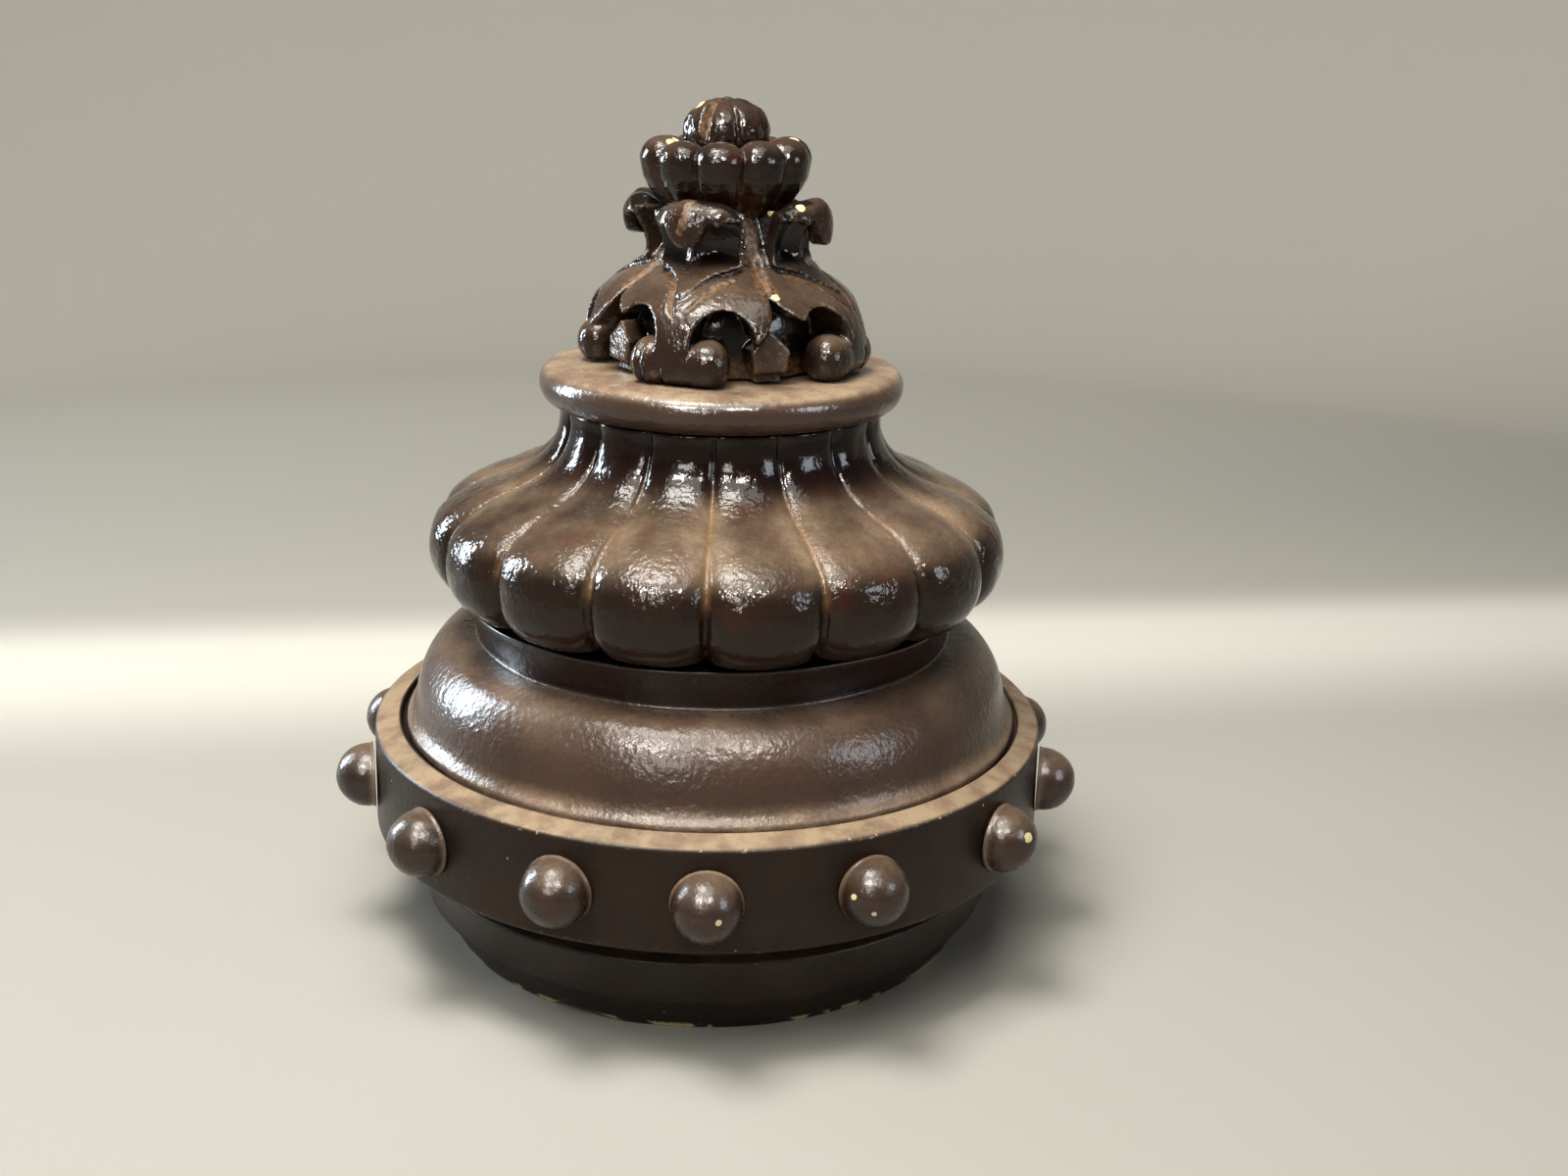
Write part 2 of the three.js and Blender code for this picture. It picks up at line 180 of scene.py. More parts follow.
LIP = (
    (-32, 363), (-25, 359.8), (-20, 357.8), (-17.5, 358.8), (-14, 354), (-9, 350.2), (-2.6, 348.6),
    (4, 350.4), (8, 354.6), (10.5, 358.8), (11.8, 361), (14, 360.6), (16.7, 358.6), (19.5, 361),
    (24, 362.5), (32, 363.5),
)

# Cup of petals and bud: radius or depth by height, and steepness
TOP_BOX = ((-44, -44, 351), (44.5, 44.5, 417))
TOP_FLOOR = 353
TOP_ROOF = 414.9
PETAL_COUNT = 10
PETAL_PHASE = -2.5
PETAL_SHOULDER = 384.5
PETAL_OUT = (
    (352, 18), (358, 22.5), (364, 29.5), (368, 33.6), (373, 37.2), (378, 39.8), (387, 41.6),
    (400, 41.6),
)
PETAL_DEPTH = ((352, 8), (364, 9.5), (374, 10.5), (387, 11.5))
CUP_INSIDE = ((352, 18), (372, 25), (388, 28))
CUP_TOP = 384
SEGMENT_COUNT = 8
BUD_PHASE = -3.3
BUD_SHOULDER = 400
BUD_OUT = ((384, 15), (388, 17.8), (394, 20.2), (399, 20.6), (404, 20), (410, 19.4))
BUD_SLOPE = ((400, 0.95), (408, 0.7), (414, 0.45))
OPEN_GROOVE = -28.5

# Colours of the stain, varnish, dust and bare wood, linear. The near-black stain is also the painted shade's
# colour in the drum's groove and the crown's hollows
STAIN_BLACK_AND_SHADE = (0.0095, 0.006, 0.0045)
STAIN_BROWN = (0.03, 0.0145, 0.0085)
STAIN_RED = (0.042, 0.0115, 0.0055)
STAIN_DEEP = (0.0165, 0.006, 0.0042)
FILM_BROWN = (0.115, 0.066, 0.046)
DUST_TAN = (0.225, 0.145, 0.098)
DUST_PALE = (0.36, 0.265, 0.17)
DUST_GOLD = (0.27, 0.15, 0.06)
BARE_AMBER = (0.235, 0.125, 0.052)
BARE_CREAM = (0.78, 0.66, 0.36)

# Where bare wood shows on the crown and the balls: x, y, z and radius in millimetres
WORN_SPOTS = (
    (-10.6, -43.9, 369.3, 2.3), (-11.3, -46.6, 366.9, 2.2), (-12.5, -47.8, 364, 2.2),
    (-13.3, -48.5, 361.4, 2.2), (-14.2, -48.4, 358.8, 2.2), (-15.1, -47.9, 356.5, 1.8),
    (-24.7, -63, 294.2, 2.2),
)
CREAM_CHIPS = (
    (29.1, -50.3, 328.5, 2.5), (39.5, -29.8, 367.2, 2.6), (25.6, -29, 364.5, 2.2), (-42, 12, 366, 2.6),
    (-21.7, -14.9, 393.9, 2.4), (-19.2, -11.5, 394.6, 2), (35.4, 3.7, 395.7, 2.6),
    (-8.1, -1.9, 411.2, 2.2), (-9.4, -2.9, 409.5, 1.8),
)
BALL_CHIPS = (
    (13.3, -188.8, 84.9, 1.6), (154.4, -108.3, 89.9, 2.6), (71, -166.7, 87.5, 1.5), (80.1, -170.1, 81.1, 1.3),
)

# Pale paper bowl, and how much brighter than its floor the painted light makes the band, the wall and the far
# part of the wall
FLAT_RADIUS = 1500
BEND_RADIUS = 500
WALL_TOP = 720
BOWL_COLUMNS = 96
FLOOR_RINGS = 40
BEND_RINGS = 24
FLOOR_COLOUR = (0.425, 0.413, 0.37)
# The band of painted light and the painted wall are turned this many degrees round the axis
STAGE_TURN = 9.7
BAND_PAINTED_LIGHT = 1.72
WALL_PAINTED_LIGHT = 1.02
FAR_PAINTED_LIGHT = 1.42

# Camera, and the lamps: name, place, height of the point on the axis that it is turned to, size, watts,
# colour, and whether it only shows as sheen
CAMERA_PLACE = (0.03694, -0.84841, 0.44642)
CAMERA_PITCH = 17.816
CAMERA_ROLL = 1.662
CAMERA_LENS = 40.12
LAMPS = (
    ("overhead", (-0.15, -0.55, 1.65), 0.1, (1.3, 1.4), 27, (1, 0.965, 0.9), False),
    ("lamp", (-0.3, -0.3, 1.55), 0.2, (0.55, 0.45), 20, (1, 0.97, 0.91), False),
    ("left_spot", (-0.42, -0.95, 1.15), 0.2, (0.2, 0.15), 17, (1, 0.95, 0.87), True),
    ("right_spot", (0.24, -0.95, 1.15), 0.2, (0.16, 0.12), 11, (1, 0.95, 0.87), True),
    ("window", (-1.41, 0.42, 0.62), 0.22, (0.26, 0.9), 42, (0.74, 0.88, 1), True),
    ("window_fill", (-1.38, 0.42, 0.62), 0.22, (0.26, 0.9), 4, (0.85, 0.93, 1), False),
    ("room", (-0.45, -1.6, 0.92), 0.2, (0.5, 0.3), 9, (1, 0.97, 0.92), True),
    ("doorway", (1.25, -0.7, 0.72), 0.2, (0.5, 0.5), 8, (0.8, 0.9, 1), True),
)
AIR_COLOUR = (0.9, 0.93, 1, 1)
AIR_STRENGTH = 0.1


# Small helpers

def ramp(value, low, high):
    """0 below low, 1 above high, and a smooth S between them."""
    share = np.clip((value - low) / (high - low), 0, 1)
    return share * share * (3 - 2 * share)


def fade(value, low, high):
    """1 below low, 0 above high, and a smooth S between them."""
    return 1 - ramp(value, low, high)


def table(value, points):
    """Value looked up in straight lines between a few (key, result) points."""
    keys, results = zip(*points)
    return np.interp(value, keys, results)


def smooth_table(value, points):
    """Value looked up in a Catmull-Rom curve through a few (key, result) points."""
    keys, results = curve_points(points, 0.8).T
    return np.interp(value, keys, results)


def wander(a, b, scale, seed):
    """Slow, even unevenness between about -1 and 1: a sum of six sine waves that run across a and b in
    directions and phases drawn from a seeded generator, their wavelength about scale."""
    draw = np.random.default_rng(seed)
    total = 0
    for _ in range(6):
        turn = draw.uniform(0, math.tau)
        length = scale * draw.uniform(0.6, 1.6)
        phase = draw.uniform(0, math.tau)
        total = total + np.sin(math.tau * (a * math.cos(turn) + b * math.sin(turn)) / length + phase)
    return total / 3.5


def from_nearest_line(azimuth, count, phase):
    """Degrees to the nearest of a number of evenly spaced lines."""
    pitch = 360 / count
    turn = (azimuth - phase) / pitch
    return np.abs(turn - np.round(turn)) * pitch


def curve_points(points, step):
    """Catmull-Rom curve through a few points, sampled about every step. Two points give a straight line."""
    points = np.array(points, float)
    padded = np.vstack([2 * points[0] - points[1], points, 2 * points[-1] - points[-2]])
    pieces = []
    for before, start, end, after in zip(padded, padded[1:], padded[2:], padded[3:]):
        count = max(2, int(np.ceil(np.linalg.norm(end - start) / step)) + 1)
        s = np.linspace(0, 1, count)[:-1, None]
        pieces.append(0.5 * (
            2 * start
            + (end - before) * s
            + (2 * before - 5 * start + 4 * end - after) * s ** 2
            + (3 * start - before - 3 * end + after) * s ** 3
        ))
    return np.vstack([*pieces, points[-1:]])


def turned_profile(sections, step, rounding):
    """One profile of [radius, height] points an even step apart. Each section is a smooth curve through its
    points, and the corners where sections meet are rounded by a Gaussian average along the line."""
    line = np.vstack([curve_points(section, step) for section in sections])
    lengths = np.concatenate([[0], np.cumsum(np.linalg.norm(np.diff(line, axis=0), axis=1))])
    fine = np.arange(0, lengths[-1], step / 4)
    sigma = rounding / (step / 4)
    reach = int(3 * sigma) + 1
    weights = np.exp(-0.5 * (np.arange(-reach, reach + 1) / sigma) ** 2)
    weights /= weights.sum()
    profile = []
    for coordinate in line.T:
        even = np.interp(fine, lengths, coordinate)
        padded = np.pad(even, reach, mode="reflect", reflect_type="odd")
        profile.append(np.convolve(padded, weights, mode="valid")[::4])
    return profile


def straight(corners):
    """Sections of a profile that goes straight from corner to corner."""
    return list(zip(corners, corners[1:]))


def make_mesh(name, vertices, faces, attributes=None):
    """Smooth mesh object at the origin from vertices in millimetres and a list of arrays of faces, each array
    with faces of one size. An attribute is one number per vertex under a name that a material can read."""
    mesh = bpy.data.meshes.new(name)
    loops = np.concatenate([group.ravel() for group in faces]).astype(np.int32)
    sizes = np.concatenate([np.full(len(group), group.shape[1]) for group in faces]).astype(np.int32)
    starts = np.concatenate([[0], np.cumsum(sizes)[:-1]]).astype(np.int32)
    mesh.vertices.add(len(vertices))
    mesh.vertices.foreach_set("co", (np.asarray(vertices, np.float64) * MM).astype(np.float32).ravel())
    mesh.loops.add(len(loops))
    mesh.loops.foreach_set("vertex_index", loops)
    mesh.polygons.add(len(sizes))
    mesh.polygons.foreach_set("loop_start", starts)
    mesh.polygons.foreach_set("use_smooth", np.full(len(sizes), True))
    mesh.update(calc_edges=True)
    for label, values in (attributes or {}).items():
        layer = mesh.attributes.new(label, "FLOAT", "POINT")
        layer.data.foreach_set("value", np.ascontiguousarray(values, np.float32).ravel())
    piece = bpy.data.objects.new(name, mesh)
    bpy.context.scene.collection.objects.link(piece)
    return piece


def ring_faces(rings, columns):
    """Faces of a tube of rings, each closed on itself, with a fan to a pole vertex at each end. Vertices are
    the rings from the bottom up, then the bottom pole, then the top pole."""
    ring = np.arange(rings - 1)[:, None] * columns
    here = np.arange(columns)[None, :]
    after = (here + 1) % columns
    quads = np.stack([ring + here, ring + after, ring + columns + after, ring + columns + here], -1)
    low = np.full(columns, rings * columns)
    last = (rings - 1) * columns
    fans = np.vstack([
        np.stack([low, after[0], here[0]], -1),
        np.stack([low + 1, last + here[0], last + after[0]], -1),
    ])
    return [quads.reshape(-1, 4), fans]


def even_azimuths(columns):
    return np.linspace(-180, 180, columns, endpoint=False)


def turned_piece(name, profile, azimuths, shift, change, masks):
    """Solid of revolution: the profile (radius R, height Z) is carried round +Z as
    x = shift + R sin a, y = -R cos a, and change moves R, Z and a for every point of the grid.
    masks returns numbers per vertex for the material. profile is its sections, the step between its rings
    and the rounding of its corners."""
    radius, height = turned_profile(*profile)
    A, R = np.meshgrid(azimuths, radius)
    A, Z = np.meshgrid(azimuths, height)
    A, R, Z = change(A, R, Z)
    angle = np.radians(A)
    points = np.stack([shift + R * np.sin(angle), -R * np.cos(angle), Z], -1).reshape(-1, 3)
    poles = np.array([[shift, 0, Z[0].mean()], [shift, 0, Z[-1].mean()]])
    attributes = {}
    for label, values in masks(A, R, Z).items():
        flat = values.reshape(-1)
        attributes[label] = np.concatenate([flat, [flat[0], flat[-1]]])
    return make_mesh(name, np.vstack([points, poles]), ring_faces(len(radius), len(azimuths)), attributes)


# Foot, with the bite broken out of its bottom edge

def foot_change(A, R, Z):
    """Bands a little uneven, and the bite: points of the bottom edge under its ragged roof move in."""
    R = R + 0.25 * wander(A * 2.6, Z, 90, 3) * ramp(R, 100, 134)
    ragged = table(A, BITE_ROOF) * (1 + 0.18 * wander(A * 2.35, Z * 0, 3.5, 5))
    inside = (ragged > 0.2) & (Z < ragged) & (R > 120)
    depth = np.where(inside, (ragged - Z) * 1.1, 0)
    return A, R - np.minimum(depth, BITE_DEPTH), Z


def foot_masks(A, R, Z):
    return {
        "edge": ramp(R, 131.5, 133.5) * fade(Z, 1.6, 3.4),
        "ledge": ramp(Z, 44.4, 45.4) * fade(Z, 45.6, 47),
    }


# Drum

def drum_change(A, R, Z):
    """Turned a little unevenly, and its recess stands round the cushion's own centre."""
    R = R + 0.22 * wander(A * 3, Z * 2, 120, 7) * ramp(R, 120, 168) * fade(Z, 108, 109)
    top = ramp(R, 158, 162) * ramp(Z, 106, 109)
    Z = Z + 0.15 * wander(A * 3, R, 60, 9) * top
    inner = fade(R, 158.5, 166) * ramp(Z, 100, 107)
    angle = np.radians(A)
    x = R * np.sin(angle) + CUSHION_SHIFT * inner
    y = -R * np.cos(angle)
    return np.degrees(np.arctan2(x, -y)), np.hypot(x, y), Z


def drum_masks(A, R, Z):
    rim = ramp(R, 167.5, 169.3) * ramp(Z, 107.6, 108.8)
    return {
        "ledge": ramp(Z, 108.6, 109.6) * ramp(R, 155, 157),
        "edge": np.clip(rim + 0.6 * fade(Z, 59.2, 62), 0, 1),
        # Painted shade: the floor and inner wall of the groove round the cushion go near-black, without dust
        "bare": fade(R, 157.6, 158.6),
    }


# Balls, each with a worn skirt where it is glued on

def build_ball(number, azimuth):
    """A ball cut off flat at the drum's wall: rings at polar angle p from the outward axis, radius
    r(p) = R with a dent or two, and a short flare of glue at the wall."""
    limit = math.degrees(math.acos((DRUM_WALL - BALL_CENTRE_RADIUS) / BALL_RADIUS))
    degrees = np.linspace(limit, 1.5, BALL_RINGS)[:, None]
    polar = np.radians(degrees)
    turn = np.radians(np.linspace(0, 360, BALL_COLUMNS, endpoint=False))[None, :]
    dents = 0.12 * wander(degrees * 0.4, np.sin(turn) * 20, 30, 20 + number)
    size = BALL_RADIUS * (1 + 0.004 * np.cos(2 * turn + number)) + dents
    across = size * np.sin(polar) + 0.9 * np.exp(-(degrees - limit) ** 2 / 18)
    right = across * np.cos(turn)
    distance = BALL_CENTRE_RADIUS + size * np.cos(polar)
    a = math.radians(azimuth)
    x = distance * math.sin(a) + right * math.cos(a)
    y = -distance * math.cos(a) + right * math.sin(a)
    z = BALL_HEIGHT + across * np.sin(turn)
    points = np.stack([x, y, z], -1).reshape(-1, 3)
    ends = (DRUM_WALL, BALL_CENTRE_RADIUS + BALL_RADIUS)
    poles = np.array([[end * math.sin(a), -end * math.cos(a), BALL_HEIGHT] for end in ends])
    skirt = np.broadcast_to(ramp(degrees, limit - 16, limit - 1), x.shape).reshape(-1)
    return make_mesh(
        f"ball_turning_{number:02d}", np.vstack([points, poles]), ring_faces(BALL_RINGS, BALL_COLUMNS),
        {"skirt": np.concatenate([skirt, [1, 0]])},
    )


# Cushion moulding with its flared band

def cushion_change(A, R, Z):
    return A, R + 0.35 * wander(A * 2.6, Z * 2, 110, 11) * ramp(R, 110, 118), Z


def cushion_masks(A, R, Z):
    return {
        "base": fade(Z, 112, 122),
        "top": ramp(Z, 146, 152) * fade(Z, 153.4, 154.4),
        "band": ramp(Z, 153.6, 156) * fade(R, 126, 128),
    }


# Gadrooned body

def lobe_pattern(A, Z):
    """Across-lobe share from 0 at the middle of a lobe to 1 in its groove, and the groove's depth there."""
    across = 1 - from_nearest_line(A, LOBE_COUNT, 0) / (LOBE_PITCH / 2)
    neck = ramp(Z, 216, 256)
    depth = LOBE_DEPTH_LOW * (1 - neck) + LOBE_DEPTH_NECK * neck
    depth = depth * (0.35 + 0.65 * ramp(Z, 174, 181))
    return across, depth * (1 - 0.35 * ramp(Z, 262, 270))


def body_change(A, R, Z):
    """Each lobe is a convex arc: the radius falls by depth (1 - (1 - s^p)^(1/2)), s from the lobe's middle
    to its groove. A lobe swells up to half a millimetre more or less, and its grooves wander a little."""
    draw = np.random.default_rng(31)
    lobe = np.floor(A / LOBE_PITCH).astype(int) % LOBE_COUNT
    swell = draw.uniform(-0.55, 0.55, LOBE_COUNT)[lobe]
    bend = 0.5 * np.sin(np.radians(A * LOBE_COUNT)) * wander(A * 0.2, Z, 160, 33)
    across, depth = lobe_pattern(A + bend, Z)
    outside = ramp(R, 66, 78)
    fall = 1 - np.sqrt(np.clip(1 - np.clip(across, 0, 1) ** 2.25, 0, 1))
    Z = Z + outside * 5 * fall * fade(Z, 176, 196)
    inside_lobe = np.sqrt(np.clip(1 - across ** 2, 0, 1))
    R = R + outside * (swell * inside_lobe * fade(Z, 215, 250) - depth * fall)
    R = R + outside * 0.22 * wander(A * 2.4, Z * 1.6, 34, 35)
    return A, R, Z


def body_masks(A, R, Z):
    across, _ = lobe_pattern(A, Z)
    return {
        "groove": ramp(across, 0.88, 1) * ramp(Z, 200, 210) * fade(Z, 240, 256),
        "shoulder": ramp(Z, 210, 226) * fade(Z, 230, 252) * (0.55 + 0.45 * ramp(across, 0.3, 0.85)),
        "dark": np.maximum(ramp(Z, 238, 254), 0.8 * fade(Z, 194, 208)),
    }


def lobe_azimuths():
    """Azimuths drawn towards the grooves, where the surface turns fastest."""
    share = np.linspace(-1, 1, LOBE_COLUMNS, endpoint=False)
    spread = np.sign(share) * np.abs(share) ** 0.72
    lobes = np.arange(LOBE_COUNT)[:, None]
    return ((lobes + (spread[None, :] + 1) / 2) * LOBE_PITCH - 180).reshape(-1)


# Collar

def collar_change(A, R, Z):
    R = R + 0.3 * wander(A * 1.6, Z * 2, 60, 41) * ramp(R, 60, 80)
    Z = Z + 0.35 * wander(A * 1.3, R, 90, 43) * ramp(Z, 286, 288)
    return A, R, np.minimum(Z, COLLAR_TOP)


def collar_masks(A, R, Z):
    return {"top": ramp(Z, 284, 288.5)}


# Carved pieces, worked out as fields of distance on a grid of points and then given a skin

def blend_min(a, b, width):
    """The smaller of two distances, with a fillet where they cross."""
    share = np.clip(0.5 + 0.5 * (b - a) / width, 0, 1)
    return b + (a - b) * share - width * share * (1 - share)


def blend_max(a, b, width):
    return -blend_min(-a, -b, width)


def to_line(a, b, points):
    """Distance from (a, b) to a line through a few points, and how far along it from 0 to 1."""
    best = np.inf
    along = 0
    count = len(points) - 1
    for i, ((a0, b0), (a1, b1)) in enumerate(zip(points, points[1:])):
        da, db = a1 - a0, b1 - b0
        share = np.clip(((a - a0) * da + (b - b0) * db) / (da * da + db * db), 0, 1)
        away = np.hypot(a - a0 - share * da, b - b0 - share * db)
        nearer = away < best
        best = np.where(nearer, away, best)
        along = np.where(nearer, (i + share) / count, along)
    return best, along


def surface_net(field, origin, step):
    """Skin of the region where the field is negative: one vertex in each cell that the skin crosses, at the
    mean of the points where it cuts the cell's edges, and one face for each grid edge that it cuts. The
    region has to end inside the grid."""
    inside = field < 0
    ways = np.eye(3, dtype=int)
    nx, ny, nz = field.shape
    corners = [(i, j, k) for i in (0, 1) for j in (0, 1) for k in (0, 1)]
    count = sum(inside[i:nx - 1 + i, j:ny - 1 + j, k:nz - 1 + k].astype(np.int8) for i, j, k in corners)
    cells = np.argwhere((count > 0) & (count < 8))
    number = np.full(count.shape, -1, np.int32)
    number[tuple(cells.T)] = np.arange(len(cells))
    total = np.zeros((len(cells), 3))
    hits = np.zeros(len(cells))
    for first in corners:
        for axis in range(3):
            if first[axis] == 1:
                continue
            f0 = field[tuple((cells + first).T)]
            f1 = field[tuple((cells + first + ways[axis]).T)]
            crossed = (f0 < 0) != (f1 < 0)
            share = np.where(crossed, f0 / np.where(crossed, f0 - f1, 1), 0)
            total += (first + ways[axis] * share[:, None]) * crossed[:, None]
            hits += crossed
    vertices = (cells + total / hits[:, None]) * step + np.array(origin)
    faces = []
    for axis in range(3):
        across, up = ways[[(axis + 1) % 3, (axis + 2) % 3]]
        change = -np.diff(inside.astype(np.int8), axis=axis)
        edges = np.argwhere(change != 0)
        cells_round = [edges - across - up, edges - up, edges, edges - across]
        quad = np.stack([number[tuple(cell.T)] for cell in cells_round], -1)
        backward = change[tuple(edges.T)] < 0
        quad[backward] = quad[backward][:, ::-1]
        faces.append(quad)
    return vertices, np.vstack(faces)


def relaxed(vertices, faces):
    """Moves every vertex half way to the mean of its neighbours and then back as far, which takes the grid's
    stepping out."""
    starts = faces.reshape(-1)
    ends = np.roll(faces, -1, axis=1).reshape(-1)
    links = np.concatenate([starts, ends])
    others = np.concatenate([ends, starts])
    degree = np.bincount(links, minlength=len(vertices))[:, None]
    for amount in (0.5, -0.52):
        sums = [np.bincount(links, vertices[others, k], len(vertices)) for k in range(3)]
        vertices = vertices + amount * (np.stack(sums, 1) / degree - vertices)
    return vertices


def box_mean(field, reach):
    """Mean of the field over a cube, one axis after another."""
    for axis in range(3):
        line = np.moveaxis(field, axis, 0)
        padded = np.pad(line, ((reach + 1, reach), (0, 0), (0, 0)), mode="edge")
        sums = np.cumsum(padded, 0, dtype=np.float32)
        width = 2 * reach + 1
        field = np.moveaxis((sums[width:] - sums[:-width]) / width, 0, axis)
    return field


def skinned(name, field_at, box, step, marks, shift):
    """Mesh of a field of distance over a box. How much of the wood round a vertex is solid, over a small
    and a larger cube, tells hollows from edges for the material: the painted shade in hollows and the pale
    edges."""
    low, high = box
    axes = [np.arange(a, b, step, dtype=np.float32) for a, b in zip(low, high)]
    X, Y, Z = np.meshgrid(*axes, indexing="ij")
    field = field_at(X, Y, Z).astype(np.float32)
    vertices, faces = surface_net(field, low, step)
    vertices = relaxed(vertices, faces)
    solid = np.clip(0.5 - field / step, 0, 1)
    place = np.round((vertices - np.array(low)) / step).astype(int)
    place = tuple(np.clip(place, 0, np.array(field.shape) - 1).T)
    attributes = {"near": box_mean(solid, 2)[place], "wide": box_mean(solid, 6)[place]}
    attributes.update(marks(vertices))
    return make_mesh(name, vertices + np.array([shift, 0, 0]), [faces], attributes)


# Leaf crown. rho is the radius, beta the degrees from the nearest leaf's axis and leaf that leaf's number.

def leaf_coordinates(X, Y):
    first = EVEN_AZIMUTHS[0]
    azimuth = (np.degrees(np.arctan2(X, -Y)) - first) % 360 + first
    turn = (np.interp(azimuth, REAL_AZIMUTHS, EVEN_AZIMUTHS) - LEAF_AXIS) / LEAF_PITCH
    leaf = np.round(turn)
    return np.hypot(X, Y), (turn - leaf) * LEAF_PITCH, leaf


def to_gap(beta):
    """Degrees to the nearest gap between two leaves."""
    return LEAF_PITCH / 2 - np.abs(beta)


def arc_of(rho, beta):
    """Millimetres along the arc for degrees at a radius."""
    return beta * (rho * math.pi / 180)


def hand(leaf):
    """-1 for the two leaves carved as mirror images of the front one, and 1 for the others."""
    return np.where((leaf == 1) | (leaf == 2), -1, 1)


def carved_lines(beta, Z, leaf):
    """1 in the middle of the carved lines beside a leaf's midrib, 0 outside. The front leaf has its own."""
    across = beta * 1.05
    left, left_along = to_line(across, Z, LEFT_LINE)
    right, right_along = to_line(across, Z, RIGHT_LINE)
    usual, usual_along = to_line(np.abs(across), Z, USUAL_LINE)
    front_share = np.maximum(
        1 - left / table(left_along, LEFT_WIDTH), 1 - right / table(right_along, RIGHT_WIDTH)
    )
    usual_share = 1 - usual / table(usual_along, USUAL_WIDTH)
    return np.clip(np.where(np.abs(leaf) < 0.5, front_share, usual_share), 0, 1)


def bulging_leaves(X, Y, Z, rho, beta, leaf):
    """A turned bulge less the valleys between the leaves, the carved lines and a line under the hem."""
    valley = np.maximum(1 - to_gap(beta) / (1.2 + 4 * ramp(Z, 329, 341)), 0) * ramp(Z, 324, 330)
    hem = np.maximum(1 - np.abs(Z - table(np.abs(beta), HEM) + 1.6) / 1.6, 0) * ramp(np.abs(beta), 5, 9)
    radius = smooth_table(Z, BULGE) - 4.5 * valley - 2.3 * carved_lines(beta, Z, leaf) - 1.4 * hem
    radius = radius + 0.35 * wander(X + Z * 0.3, Y + Z * 0.4, 22, 61)
    return np.maximum((rho - radius) * table(Z, BULGE_SLOPE), Z - BULGE_TOP)


def openings(Z, rho, beta):
    """Negative in the eyes over the ends of the rolls and between the teeth of two neighbouring leaves."""
    eye_across = (np.abs(beta) - EYE_AZIMUTH) / EYE_HALF_ANGLE * EYE_RADIUS
    eye = np.hypot(eye_across, np.maximum(Z - EYE_HEIGHT, 0)) - EYE_RADIUS
    half_width = np.where(beta < 0, table(Z, SHORT_TOOTH), table(Z, LONG_TOOTH))
    return np.minimum(eye, arc_of(rho, to_gap(beta) - half_width) * 0.8)


def small_leaf(Z, rho, beta):
    """The leaf behind each gap: a flat face with a pointed outline."""
    turned = np.radians(to_gap(beta))
    side = (rho * np.sin(turned) - table(Z, SMALL_LEAF_HALF)) * 0.85
    face = SMALL_LEAF_OUT - 0.07 * (Z - 300) - 4.6 * fade(Z, 293, 295.5)
    return np.maximum(side, rho * np.cos(turned) - face)


def roll(Z, rho, beta, leaf):
    """A barrel under each leaf, thicker at its ends, with two cuts across it. One end is lost behind."""
    arc = ROLL_OUT * np.radians(beta)
    swell = 10.2 + 1.3 * ramp(np.abs(arc), 7, 15)
    for depth, place in ((1.5, -6), (1.7, -16)):
        swell = swell - depth * np.exp(-((arc * hand(leaf) - place) / 1.1) ** 2)
    barrel = np.hypot(rho - ROLL_OUT, Z - ROLL_HEIGHT) / swell
    half = np.where((leaf == 1) & (arc > 0), ROLL_HALF_HIDDEN, ROLL_HALF)
    end = np.maximum(np.abs(arc) - half, 0) / 10
    return (np.sqrt(barrel ** 2 + end ** 2) - 1) * 9


def fin_span(beta):
    """Share of the way from a blade's fin to its side."""
    return np.abs(beta - FIN) / np.where(beta > FIN, SCOOP_REACH_RIGHT, SCOOP_REACH_LEFT)


def blade(Z, rho, beta, leaf):
    """The leaf above its hem: it leans out, with a scoop hollowed on each side of its fin."""
    span = np.clip(fin_span(beta), 0, 1)
    depth = np.where((beta < FIN) & (np.abs(leaf) < 0.5), 2.6, 8.5)
    scoop = np.sin(math.pi * span ** 0.8) ** 0.75 * depth * ramp(Z, 337.5, 346)
    face = (rho - (smooth_table(Z, BLADE_LEAN) - scoop)) * table(Z, BLADE_SLOPE)
    face = blend_max(face, arc_of(rho, np.abs(beta) - table(Z, BLADE_EDGE)), 1)
    face = blend_max(face, (table(np.abs(beta), HEM) - Z) * 0.75, 0.5)
    return np.maximum(face, Z - BLADE_TOP)


def curled_lip(Z, rho, beta, leaf):
    """The top of a blade curls out and down, thickest in the middle, to a cut edge with a big rounded lobe, a
    notch and a small lobe. Its sides are drawn in and hang lower."""
    mirrored = beta * hand(leaf)
    sides = ramp(np.abs(beta), 16, 34)
    pulled = 40 + (rho - 40) / (1 - 0.3 * sides)
    dropped = Z + 3 * sides
    path, _ = to_line(pulled, dropped, curve_points(CURL_PATH, 2.6))
    lobe = np.exp(-((mirrored + 2.6) / 10.5) ** 2)
    curl = path - (3 + 2 * lobe * ramp(rho, 38, 46) - 0.8 * sides)
    cut = (table(mirrored, LIP) - dropped) * 0.85
    curl = np.where(rho > 42, blend_max(curl, cut, 1.6), curl)
    return blend_max(curl, arc_of(rho, np.abs(beta) - 33), 2)


